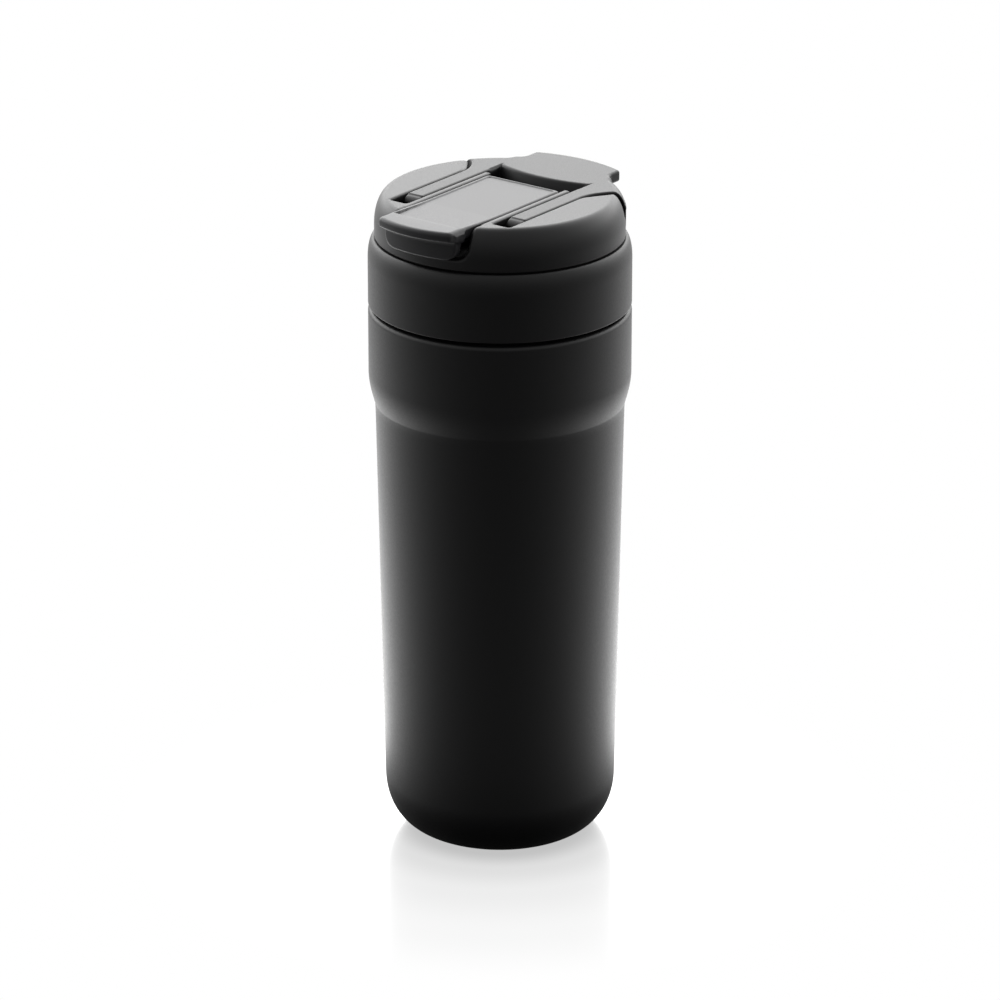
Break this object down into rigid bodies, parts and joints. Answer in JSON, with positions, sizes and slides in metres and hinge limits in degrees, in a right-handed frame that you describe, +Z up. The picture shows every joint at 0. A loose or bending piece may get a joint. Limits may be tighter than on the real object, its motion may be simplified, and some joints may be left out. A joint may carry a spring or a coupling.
{
  "type": "insulated travel tumbler",
  "caption": "Double-wall vacuum tumbler with a screw lid, a flip cap over the drinking spout and a U-shaped carry handle folded flush into the lid.",
  "frame": {"origin": "on the lid's axis, in the plane of the foot ring", "axes": "+Z up along the body's axis, -Y towards the drinking side, +Y towards the finger tab, +X to the drinker's left when facing the spout"},
  "size_m": [0.08, 0.0879, 0.2064],
  "materials": {
    "powder_coat": "matte powder coat",
    "bare_steel": "brushed",
    "polished_liner": "electropolished",
    "copper": "plain foil",
    "getter_metal": "sintered",
    "solder": "fused",
    "pin_steel": "ground",
    "collar_black": "soft matte",
    "lid_black": "fine satin grain",
    "handle_black": "fine satin grain",
    "inner_black": "moulded",
    "silicone": "matte"
  },
  "bodies": {
    "vessel": {"outer_shell": "powder_coat", "outer_base": "bare_steel", "mid_base": "bare_steel", "vacuum_seal": "solder", "getter": "getter_metal", "liner_tube": "polished_liner", "liner_base": "polished_liner", "copper_foil": "copper"},
    "gasket": {"lid_gasket": "silicone"},
    "lid": {"lid_body": "inner_black", "lid_collar": "collar_black", "lid_cover": "lid_black", "cap_hinge_pin": "pin_steel", "handle_pin_left": "pin_steel", "handle_pin_right": "pin_steel"},
    "cap": {"cap_plate": "lid_black", "cap_underplate": "inner_black", "spout_stopper": "silicone", "vent_plug": "silicone"},
    "handle": {"carry_handle": "handle_black"}
  },
  "joints": [
    {"name": "lid_lift", "type": "slide", "parent": "vessel", "child": "gasket", "axis": [0, 0, 1], "range_m": [0, 0.00563]},
    {"name": "lid_turn", "type": "hinge", "parent": "gasket", "child": "lid", "pos_m": [0, 0, 0.184], "axis": [0, 0, 1], "range_deg": [0, 450]},
    {"name": "cap_hinge", "type": "hinge", "parent": "lid", "child": "cap", "pos_m": [0, 0.0094, 0.2023], "axis": [-1, 0, 0], "range_deg": [0, 110]},
    {"name": "handle_pivot", "type": "hinge", "parent": "lid", "child": "handle", "pos_m": [0, -0.0169, 0.2028], "axis": [1, 0, 0], "range_deg": [0, 130]}
  ],
  "couplings": [
    {"joint": "lid_lift", "follows": "lid_turn", "m_per_rad": 0.0007162}
  ]
}
